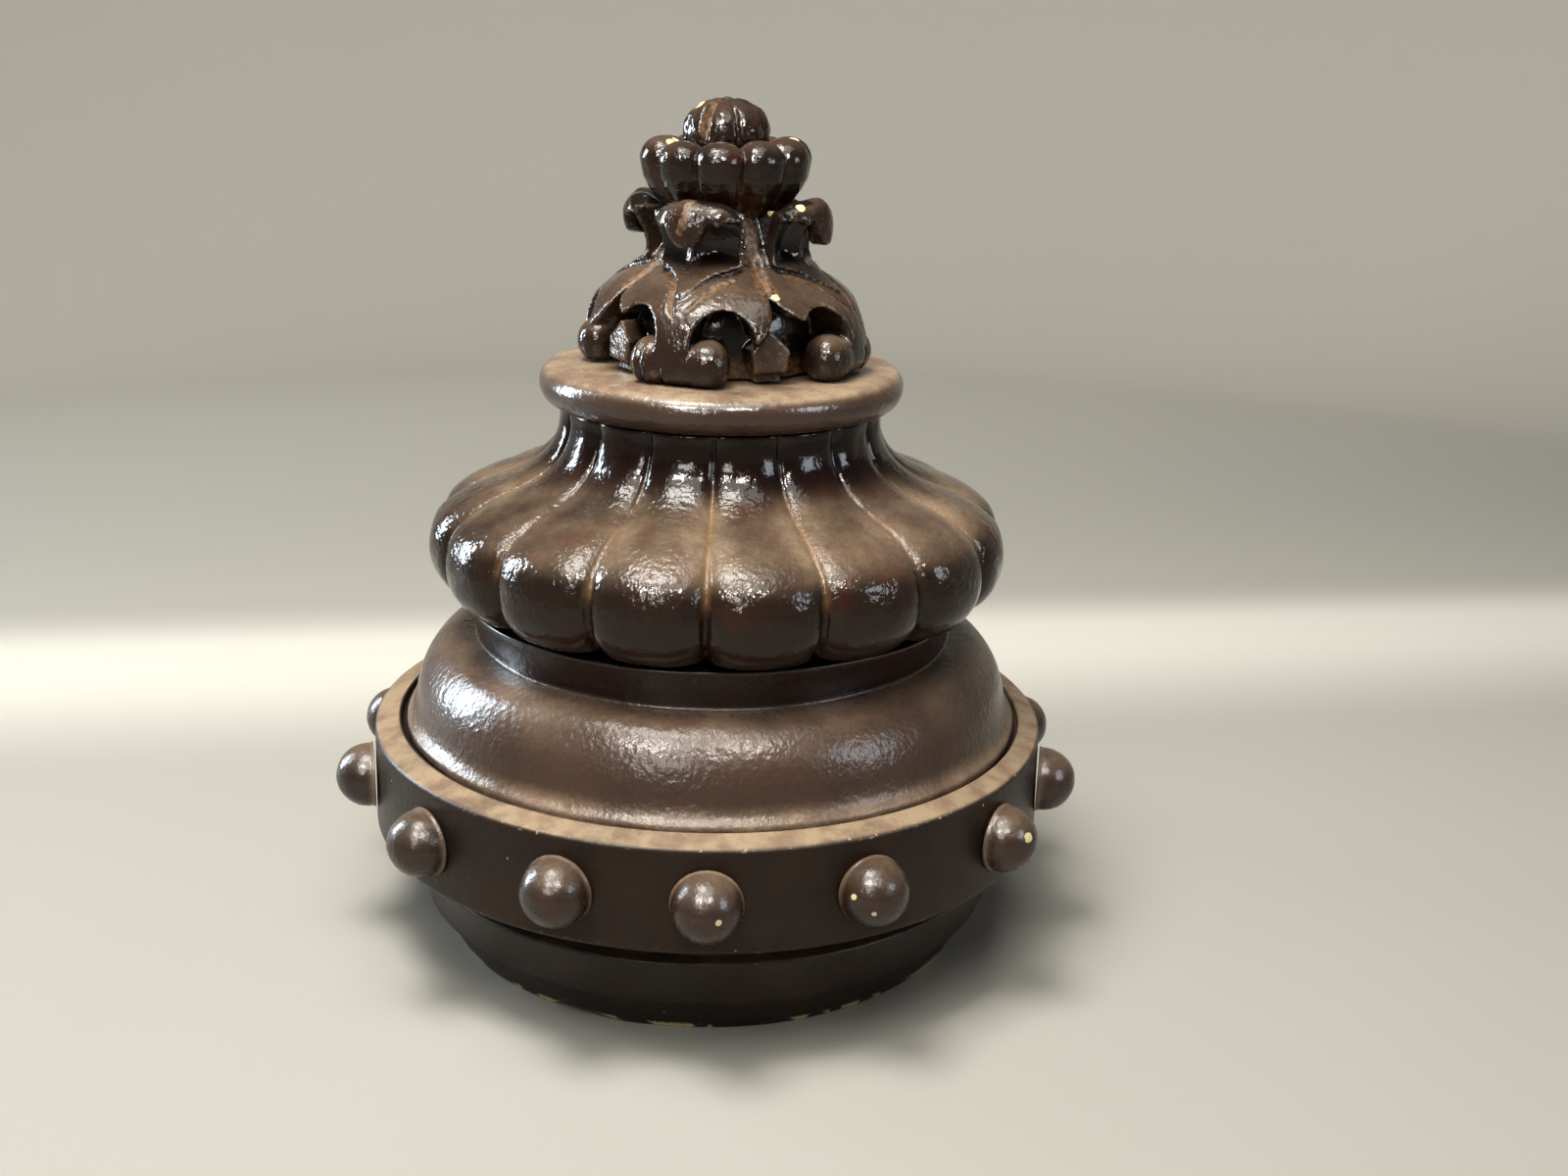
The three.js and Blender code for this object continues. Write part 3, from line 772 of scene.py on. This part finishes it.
def leaves_field(X, Y, Z):
    """Distance to the lower crown, negative inside."""
    rho, beta, leaf = leaf_coordinates(X, Y)
    leaves = blend_max(bulging_leaves(X, Y, Z, rho, beta, leaf), -openings(Z, rho, beta), 0.8)
    core = rho - np.where(Z > STEM_FOOT, table(Z, STEM), smooth_table(Z, CORE))
    whole = blend_min(leaves, core, 1.2)
    whole = blend_min(whole, small_leaf(Z, rho, beta), 0.5)
    whole = blend_min(whole, roll(Z, rho, beta, leaf), 0.7)
    whole = blend_min(whole, blade(Z, rho, beta, leaf), 0.3)
    whole = blend_min(whole, curled_lip(Z, rho, beta, leaf), 0.8)
    return np.maximum(np.maximum(whole, CROWN_FLOOR - Z), Z - CROWN_ROOF)


def leaf_marks(vertices):
    """Worn lines and valleys, painted shade in the scoops and cavities, and the dusty faces of the small
    leaves.
    """
    x, y, z = vertices.T
    rho, beta, leaf = leaf_coordinates(x, y)
    gap = to_gap(beta)
    span = fin_span(beta)
    valley = fade(gap, 3.5, 6.5) * ramp(z, 327, 331)
    # Painted shade: the scoops under the curls, where the varnish is also unfaded, and the cavities behind
    # the eyes
    scoop = ramp(span, 0.1, 0.22) * fade(span, 0.95, 1.05) * ramp(z, 339, 343.5) * (rho < 46)
    under = fade(z, 292, 302) * (rho < 54)
    amber = np.maximum(ramp(carved_lines(beta, z, leaf), 0.02, 0.2) * (rho > 36), valley)
    cavity = fade(rho, 49, 52) * ramp(z, 294, 300) * fade(z, 324, 328)
    out = rho * np.cos(np.radians(gap))
    facet = ramp(out, 56.3, 57.2) * fade(out, 59.4, 60) * ramp(z, 292.5, 294) * (gap < 10.5) * (z < 314.5)
    return {
        "amber": np.maximum(amber, under) * (1 - facet),
        "scoop": np.maximum(scoop * (gap > 8), cavity * (1 - facet)),
        "facet": facet,
    }


def cup_of_petals(Z, rho, azimuth, draw):
    """Each petal is an egg whose half width and depth change with height, round a floor inside."""
    pitch = 360 / PETAL_COUNT
    petal = (azimuth - PETAL_PHASE + pitch / 2) % pitch - pitch / 2
    number = np.round((azimuth - PETAL_PHASE - petal) / pitch).astype(int) % PETAL_COUNT
    tall = draw.uniform(-1.2, 1.2, PETAL_COUNT)[number]
    stout = draw.uniform(-0.5, 0.5, PETAL_COUNT)[number]
    outer = table(Z, PETAL_OUT) + stout
    depth = table(Z, PETAL_DEPTH)
    width = (outer - depth * 0.5) * math.tan(math.radians(18.3))
    rise = np.maximum(Z - PETAL_SHOULDER, 0) / (11.8 + tall)
    out = rho * np.cos(np.radians(petal)) - (outer - depth)
    across = rho * np.sin(np.radians(petal))
    egg = ((np.abs(across) / width) ** 2.15 + (np.abs(out) / depth) ** 2.2 + rise ** 2.2) ** (1 / 2.2)
    floor = np.maximum(rho - table(Z, CUP_INSIDE), Z - CUP_TOP)
    return blend_min((egg - 1) * 9, floor, 0.6)


def ribbed_bud(X, Y, Z, rho, azimuth, draw):
    """One dome less a groove between each two of its segments, the one at the front left wide and open at
    the top, with knobs and a pit on top."""
    pitch = 360 / SEGMENT_COUNT
    segment = (azimuth - BUD_PHASE + pitch / 2) % pitch - pitch / 2
    number = np.round((azimuth - BUD_PHASE - segment) / pitch).astype(int) % SEGMENT_COUNT
    height = draw.uniform(-0.9, 0.4, SEGMENT_COUNT)[number]
    rise = np.clip(np.maximum(Z - BUD_SHOULDER, 0) / (14.4 + height), 0, 1)
    dome = table(Z, BUD_OUT) * (1 - rise ** 2.3) ** 0.5
    share = np.abs(segment) / (pitch / 2)
    upper = ramp(Z, 396, 410)
    line = (1.8 + upper) * (1 - np.sqrt(np.clip(1 - share ** 2.4, 0, 1)))
    front_left = np.clip(1 - np.abs(azimuth - OPEN_GROOVE) / (6 + 5 * upper), 0, 1)
    front_right = np.clip(1 - np.abs(azimuth - 18.5 + 0.35 * (Z - 400)) / 4.5, 0, 1)
    line = line + 3.4 * front_left * ramp(Z, 392, 402) + 2.2 * front_right * ramp(Z, 395, 400)
    knobs = 0.8 * wander(X, Y, 9, 79) * ramp(Z, 404, 411)
    bud = np.maximum((rho - dome + line - knobs) * table(Z, BUD_SLOPE), Z - (414.4 + height))
    pit = np.hypot(rho, (Z - 415.5) * 1.2) - 4.6
    return blend_max(bud, -pit, 0.8) + 0.25 * wander(X * 1.4 + Z, Y * 1.4 - Z, 7, 77)


def top_field(X, Y, Z):
    """Distance to the cup of petals and the bud, negative inside."""
    rho = np.hypot(X, Y)
    azimuth = np.degrees(np.arctan2(X, -Y))
    draw = np.random.default_rng(71)
    cup = cup_of_petals(Z, rho, azimuth, draw)
    whole = blend_min(cup, ribbed_bud(X, Y, Z, rho, azimuth, draw), 0.4)
    return np.maximum(np.maximum(whole, TOP_FLOOR - Z), Z - TOP_ROOF)


def top_marks(vertices):
    """Worn wood in the bud's open groove and between the petals' roots."""
    x, y, z = vertices.T
    azimuth = np.degrees(np.arctan2(x, -y))
    groove = fade(np.abs(azimuth - OPEN_GROOVE), 5, 9) * ramp(z, 394, 399) * (np.hypot(x, y) > 6)
    between = ramp(from_nearest_line(azimuth, PETAL_COUNT, PETAL_PHASE), 14, 18) * fade(z, 366, 388)
    roots = np.clip(between + 0.8 * fade(z, 362, 369), 0, 1)
    return {"amber": np.maximum(groove, 0.6 * roots)}


# Shader maths

class Wire:
    """A shader socket whose arithmetic adds the Math nodes it needs."""

    def __init__(self, tree, socket):
        self.tree = tree
        self.socket = socket

    def _math(self, operation, *values):
        return add_node(self.tree, "ShaderNodeMath", {"operation": operation}, dict(enumerate(values)))

    def __add__(self, other):
        return self._math("ADD", self, other)

    def __sub__(self, other):
        return self._math("SUBTRACT", self, other)

    def __rsub__(self, other):
        return self._math("SUBTRACT", other, self)

    def __mul__(self, other):
        return self._math("MULTIPLY", self, other)

    __radd__ = __add__
    __rmul__ = __mul__

    def clamp(self):
        return add_node(self.tree, "ShaderNodeClamp", {}, {"Value": self})

    def above(self, low, high):
        """0 below low, 1 above high, smooth between."""
        return add_node(
            self.tree, "ShaderNodeMapRange", {"interpolation_type": "SMOOTHSTEP"},
            {"Value": self, "From Min": low, "From Max": high},
        )

    def largest(self, other):
        return self._math("MAXIMUM", self, other)


def add_node(tree, kind, settings, inputs, output=0):
    """Adds a node: its settings first, then a value or a link for each named or numbered input."""
    node = tree.nodes.new(kind)
    for key, value in settings.items():
        setattr(node, key, value)
    for key, value in inputs.items():
        socket = node.inputs[key]
        if isinstance(value, Wire):
            tree.links.new(value.socket, socket)
        elif isinstance(value, tuple) and socket.type == "RGBA":
            socket.default_value = (*value, 1)
        else:
            socket.default_value = value
    return Wire(tree, node.outputs[output]) if node.outputs else None


class Finish:
    """One material being built: its patterns on Object coordinates, then its shader."""

    def __init__(self, name):
        self.material = bpy.data.materials.new(name)
        self.material.use_nodes = True
        self.material.node_tree.nodes.clear()
        self.place = self.node("ShaderNodeTexCoord", {}, {}, "Object")

    def node(self, kind, settings, inputs, output=0):
        return add_node(self.material.node_tree, kind, settings, inputs, output)

    def noise(self, scale, detail=4, rough=0.55):
        """Cloudy pattern, scale in features per metre."""
        inputs = {"Vector": self.place, "Scale": scale, "Detail": detail, "Roughness": rough}
        return self.node("ShaderNodeTexNoise", {}, inputs)

    def mask(self, name):
        return self.node("ShaderNodeAttribute", {"attribute_name": name}, {}, "Fac")

    def facing_up(self):
        normal = self.node("ShaderNodeNewGeometry", {}, {}, "Normal")
        return self.node("ShaderNodeSeparateXYZ", {}, {"Vector": normal}, "Z")

    def axis(self, name):
        return self.node("ShaderNodeSeparateXYZ", {}, {"Vector": self.place}, name)

    def mix(self, factor, below, above):
        return self.node("ShaderNodeMix", {"data_type": "RGBA"}, {0: factor, 6: below, 7: above}, 2)

    def spots(self, places, ragged):
        """1 inside any of the given spots, each a point in millimetres and a radius, their edges ragged."""
        covered = None
        for x, y, z, radius in places:
            inputs = {0: self.place, 1: (x * MM, y * MM, z * MM)}
            away = self.node("ShaderNodeVectorMath", {"operation": "DISTANCE"}, inputs, "Value")
            away = away + (ragged - 0.5) * (radius * 1.1 * MM)
            inside = 1 - away.above(radius * 0.85 * MM, radius * MM)
            covered = inside if covered is None else covered.largest(inside)
        return covered

    def flecks(self, scale, size):
        """Sparse pale dots, size given as a share of the distance between the cells they are in."""
        cells = self.node("ShaderNodeTexVoronoi", {}, {"Vector": self.place, "Scale": scale})
        return (1 - cells.above(size * 0.6, size)) * self.noise(scale * 0.3, 2).above(0.52, 0.6)

    def finish(self, colour, roughness, height, bump_strength, bump_distance, specular):
        bump = self.node(
            "ShaderNodeBump", {}, {"Strength": bump_strength, "Distance": bump_distance, "Height": height}
        )
        shader = self.node(
            "ShaderNodeBsdfPrincipled", {},
            {"Base Color": colour, "Roughness": roughness, "Normal": bump, "Specular IOR Level": specular},
        )
        self.node("ShaderNodeOutputMaterial", {}, {"Surface": shader})
        return self.material


def varnish(name, dust_and_highlight_mask, gold_mask=None, worn_mask=None, cream_mask=None, dark_tone_and_shade_mask=None,
            dark_tone_and_shade_colour=STAIN_BLACK_AND_SHADE, brown=0.5, red=0.5, film=0.1, gloss=0.24, specular=0.6, ripple=1,
            top_dust=0.5, pale=0.5):
    """Dark stained wood under a rippled old varnish: clouds of brown and red in near-black, a thin brown
    film, dust where the mask says and on upward faces, golden dust in hollows, worn amber wood and cream
    chips. On the crown that mask also lays pale edges, worn and partly a painted highlight. A further mask
    brings a darker colour: painted shade in the drum's groove and the crown's hollows, and a darker tone on
    the cushion's band and on the gadroon's lower lobes and neck. The varnish shines through the dust."""
    f = Finish(name)
    clouds = f.noise(38, 5, 0.6)
    fine = f.noise(420, 3, 0.6)
    grit = f.noise(1300, 2, 0.6)
    patches = f.noise(19, 4, 0.6)
    stain = f.mix((clouds * 1.8 - 0.9 + brown).clamp(), STAIN_BLACK_AND_SHADE, STAIN_BROWN)
    stain = f.mix((f.noise(52, 3, 0.5).above(0.5, 0.72) * red).clamp(), stain, STAIN_RED)
    stain = f.mix((film * (0.3 + 1.4 * patches)).clamp(), stain, FILM_BROWN)
    settled = f.facing_up().above(0.25, 0.95) * top_dust
    dust = dust_and_highlight_mask(f).largest(settled) * (patches.above(0.28, 0.66) * 0.7 + 0.3) * (0.65 + 0.7 * fine)
    dark = dark_tone_and_shade_mask(f) if dark_tone_and_shade_mask else None
    if dark:
        dust = dust * (1 - dark)
    dust = (dust * (0.78 + 0.44 * grit)).clamp()
    dust_colour = f.mix((f.noise(64, 4, 0.6).above(0.3, 0.75) * pale * 1.6).clamp(), DUST_TAN, DUST_PALE)
    colour = f.mix(dust, stain, dust_colour)
    roughness = gloss + 0.16 * (fine - 0.5) + dust * 0.09
    if gold_mask:
        gold = (gold_mask(f) * patches.above(0.36, 0.62) * (0.4 + fine)).clamp()
        colour = f.mix(gold, colour, DUST_GOLD)
        roughness = roughness + gold * 0.2
    # The darker colour: painted shade in the drum's groove and the crown's hollows, a darker tone on the
    # cushion's band and the gadroon
    if dark:
        colour = f.mix((dark * 0.85).clamp(), colour, dark_tone_and_shade_colour)
    if worn_mask:
        worn = worn_mask(f).clamp()
        colour = f.mix(worn, colour, f.mix(fine.above(0.3, 0.7), STAIN_BROWN, BARE_AMBER))
        roughness = roughness + worn * 0.3
    if cream_mask:
        cream = cream_mask(f).clamp()
        colour = f.mix(cream, colour, BARE_CREAM)
        roughness = roughness + cream * 0.3
    peel = f.noise(170, 2, 0.5) * 0.6 + f.noise(370, 2, 0.5) * 0.5
    height = peel * ripple + dust * grit * 0.25
    if dark:
        height = height * (1 - 0.6 * dark)
    return f.finish(colour, roughness.clamp(), height, 0.8, 0.0009, specular)


# Floor, light and camera

def paper(share):
    """The floor's colour, made brighter or darker."""
    return tuple(share * c for c in FLOOR_COLOUR)


def build_stage():
    """Round bowl of pale paper: a flat floor, a quarter circle and a wall, carried round +Z far outside the
    camera's ways round the object, open at the top. A band of painted light crosses it behind the object."""
    bend = np.radians(np.linspace(0, 90, BEND_RINGS))[1:]
    radius = np.concatenate([
        np.linspace(20, FLAT_RADIUS, FLOOR_RINGS), FLAT_RADIUS + BEND_RADIUS * np.sin(bend),
        [FLAT_RADIUS + BEND_RADIUS],
    ])
    height = np.concatenate([np.zeros(FLOOR_RINGS), BEND_RADIUS * (1 - np.cos(bend)), [WALL_TOP]])
    angle = np.radians(np.linspace(0, 360, BOWL_COLUMNS, endpoint=False))
    across = radius[:, None]
    points = np.stack([
        across * np.cos(angle), across * np.sin(angle), np.repeat(height[:, None], BOWL_COLUMNS, axis=1),
    ], -1).reshape(-1, 3)
    quads, fans = ring_faces(len(radius), BOWL_COLUMNS)
    faces = [quads[:, ::-1], fans[:BOWL_COLUMNS, ::-1]]
    floor = make_mesh("studio_bowl", np.vstack([points, np.zeros((1, 3))]), faces)
    f = Finish("pale_paper_and_painted_light")
    turn = math.radians(STAGE_TURN)
    back = f.axis("Y") * math.cos(turn) - f.axis("X") * math.sin(turn)
    colour = f.mix(f.noise(2.2, 3, 0.5), paper(0.97), paper(1.03))
    # Painted light: a bright band behind the object, then the wall and its far part made brighter, all
    # painted into the paper's colour
    colour = f.mix(back.above(0.19, 0.38) * (1 - back.above(0.41, 0.53)), colour, paper(BAND_PAINTED_LIGHT))
    colour = f.mix(back.above(0.41, 0.56), colour, paper(WALL_PAINTED_LIGHT))
    colour = f.mix(back.above(0.6, 1.5), colour, paper(FAR_PAINTED_LIGHT))
    roughness = 0.75 + 0.1 * f.noise(30)
    floor.data.materials.append(f.finish(colour, roughness, f.noise(900), 0.05, 0.0004, 0.15))


def area_light(name, place, aim_height, size, power, colour, sheen_only):
    """Rectangular lamp. One that is sheen_only shows as sheen and gives no other light."""
    data = bpy.data.lights.new(name, "AREA")
    data.shape = "RECTANGLE"
    data.size, data.size_y = size
    data.energy = power
    data.color = colour
    lamp = bpy.data.objects.new(name, data)
    lamp.visible_camera = False
    lamp.visible_diffuse = not sheen_only
    back = np.array(place) - (0, 0, aim_height)
    back /= np.linalg.norm(back)
    right = np.cross((0, 0, 1), back)
    right /= np.linalg.norm(right)
    turn = Matrix(np.column_stack((right, np.cross(back, right), back)).tolist())
    lamp.matrix_world = Matrix.Translation(place) @ turn.to_4x4()
    bpy.context.scene.collection.objects.link(lamp)


def build_light_and_camera():
    for lamp in LAMPS:
        area_light(*lamp)
    scene = bpy.context.scene
    world = bpy.data.worlds.new("studio_air")
    world.use_nodes = True
    air = world.node_tree.nodes["Background"]
    air.inputs["Color"].default_value = AIR_COLOUR
    air.inputs["Strength"].default_value = AIR_STRENGTH
    scene.world = world
    camera = bpy.data.cameras.new("camera")
    camera.lens = CAMERA_LENS
    camera.sensor_width = 36
    camera.clip_start = 0.01
    eye = bpy.data.objects.new("camera", camera)
    pitch = Euler((math.radians(90 - CAMERA_PITCH), 0, 0)).to_matrix()
    turn = Euler((0, 0, math.radians(CAMERA_ROLL))).to_matrix()
    eye.matrix_world = Matrix.Translation(CAMERA_PLACE) @ (pitch @ turn).to_4x4()
    scene.collection.objects.link(eye)
    scene.camera = eye
    scene.view_settings.view_transform = "Standard"


# Pieces put in place

def settle(piece, material, slot, *nodes):
    """Gives a piece its material, its body and the solids that it stands for. The slot is not used."""
    piece.data.materials.append(material)
    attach(piece, "root")
    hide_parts(*nodes)


def place_turned_pieces():
    azimuths = even_azimuths(TURNED_COLUMNS)
    profile = straight(FOOT_CORNERS), 1.2, 0.45
    foot = turned_piece("foot_turning", profile, azimuths, 0, foot_change, foot_masks)
    settle(foot, varnish(
        "foot_varnish", lambda f: f.mask("ledge") * 0.5,
        cream_mask=lambda f: (
            f.mask("edge") * f.noise(48, 5, 0.65).above(0.5, 0.54) + f.flecks(85, 0.07)
        ),
        brown=0.1, red=0.1, film=0.04, gloss=0.36, specular=0.22, ripple=0.5,
    ), "foot_wood", "foot")
    profile = straight(DRUM_CORNERS), 1.2, 0.5
    drum = turned_piece("drum_turning", profile, azimuths, 0, drum_change, drum_masks)
    settle(drum, varnish(
        "drum_varnish", lambda f: f.mask("ledge") * 1.8,
        cream_mask=lambda f: (
            f.mask("edge") * f.noise(300, 4).above(0.62, 0.68) * 0.5 + f.flecks(75, 0.05)
        ),
        # Painted shade in the groove round the cushion
        dark_tone_and_shade_mask=lambda f: f.mask("bare"),
        brown=0.3, red=0.2, film=0.07, gloss=0.38, specular=0.17, ripple=0.5, pale=1,
    ), "drum_wood", "drum")
    profile = CUSHION_SECTIONS, 1.1, 0.7
    cushion = turned_piece("cushion_turning", profile, azimuths, CUSHION_SHIFT, cushion_change, cushion_masks)
    settle(cushion, varnish(
        "cushion_varnish", lambda f: f.mask("base") * 1.1 + f.mask("top") * 0.55,
        dark_tone_and_shade_mask=lambda f: f.mask("band"), dark_tone_and_shade_colour=STAIN_DEEP,
        brown=0.7, red=0.7, film=0.44, gloss=0.25, specular=0.36, top_dust=0.55,
    ), "cushion_wood", "cushion_moulding")
    profile = BODY_SECTIONS, 1.05, 0.7
    body = turned_piece("gadroon_carving", profile, lobe_azimuths(), BODY_SHIFT, body_change, body_masks)
    settle(body, varnish(
        "gadroon_varnish", lambda f: f.mask("shoulder") * 0.8,
        gold_mask=lambda f: f.mask("groove") * 0.7,
        dark_tone_and_shade_mask=lambda f: f.mask("dark"), dark_tone_and_shade_colour=STAIN_DEEP,
        brown=0.3, red=0.75, film=0.03, gloss=0.13, specular=0.3, ripple=1.3, top_dust=0, pale=0.6,
    ), "gadroon_wood", "gadrooned_body")
    profile = COLLAR_SECTIONS, 0.9, 0.6
    azimuths = even_azimuths(COLLAR_COLUMNS)
    collar = turned_piece("collar_turning", profile, azimuths, COLLAR_SHIFT, collar_change, collar_masks)
    settle(collar, varnish(
        "collar_varnish", lambda f: f.mask("top") * 1.5,
        brown=0.6, red=0.3, film=0.45, gloss=0.2, specular=0.55, pale=0.9, ripple=0.7,
    ), "collar_wood", "collar")


def place_balls():
    material = varnish(
        "ball_varnish", lambda f: f.mask("skirt") * 0.8,
        cream_mask=lambda f: f.spots(BALL_CHIPS, f.noise(260, 3)),
        brown=0.5, red=0.5, film=0.12, gloss=0.26, specular=0.45, top_dust=0.45, ripple=0.7,
    )
    for ball in range(BALL_COUNT):
        step = ball if ball < BALL_COUNT / 2 else ball - BALL_COUNT
        azimuth = BALL_PHASE + step * 360 / BALL_COUNT + BALL_OFFSETS.get(step, 0)
        settle(build_ball(ball + 1, azimuth), material, "ball_wood", f"ball_{ball + 1:02d}")


def place_crown():
    leaves = skinned("leaf_carving", leaves_field, LEAF_BOX, LEAF_STEP, leaf_marks, CROWN_SHIFT)
    settle(leaves, varnish(
        "leaf_varnish",
        # Dust on the small leaves' faces, and pale convex edges that are worn and partly a painted highlight
        lambda f: (f.mask("facet") * 0.3).largest((1 - f.mask("near").above(0.27, 0.37)) * 0.55),
        worn_mask=lambda f: (
            (f.mask("amber") * 0.9).largest(f.spots(WORN_SPOTS, f.noise(300, 3)) * 0.8)
        ),
        cream_mask=lambda f: f.spots(CREAM_CHIPS, f.noise(260, 3)),
        # Painted shade: hollows deep in the carving, and the scoops and cavities, go near-black
        dark_tone_and_shade_mask=lambda f: f.mask("wide").above(0.55, 0.7).largest(f.mask("scoop")),
        brown=0.35, red=0.8, film=0.07, gloss=0.14, specular=0.32, top_dust=0.36,
    ), "crown_wood", "leaf_crown")
    bud = skinned("bud_carving", top_field, TOP_BOX, BUD_STEP, top_marks, BUD_SHIFT)
    settle(bud, varnish(
        # Pale convex edges, worn and partly a painted highlight
        "bud_varnish", lambda f: (1 - f.mask("near").above(0.27, 0.36)) * 0.3,
        worn_mask=lambda f: f.mask("amber") * 0.9,
        cream_mask=lambda f: f.spots(CREAM_CHIPS, f.noise(260, 3)),
        # Painted shade: the hollows between the petals and round the bud go near-black
        dark_tone_and_shade_mask=lambda f: f.mask("wide").above(0.6, 0.75),
        brown=0.3, red=1, film=0.03, gloss=0.13, specular=0.32, top_dust=0.22,
    ), "crown_wood", "leaf_crown")


def main():
    build_stage()
    place_turned_pieces()
    place_balls()
    place_crown()
    build_light_and_camera()


main()
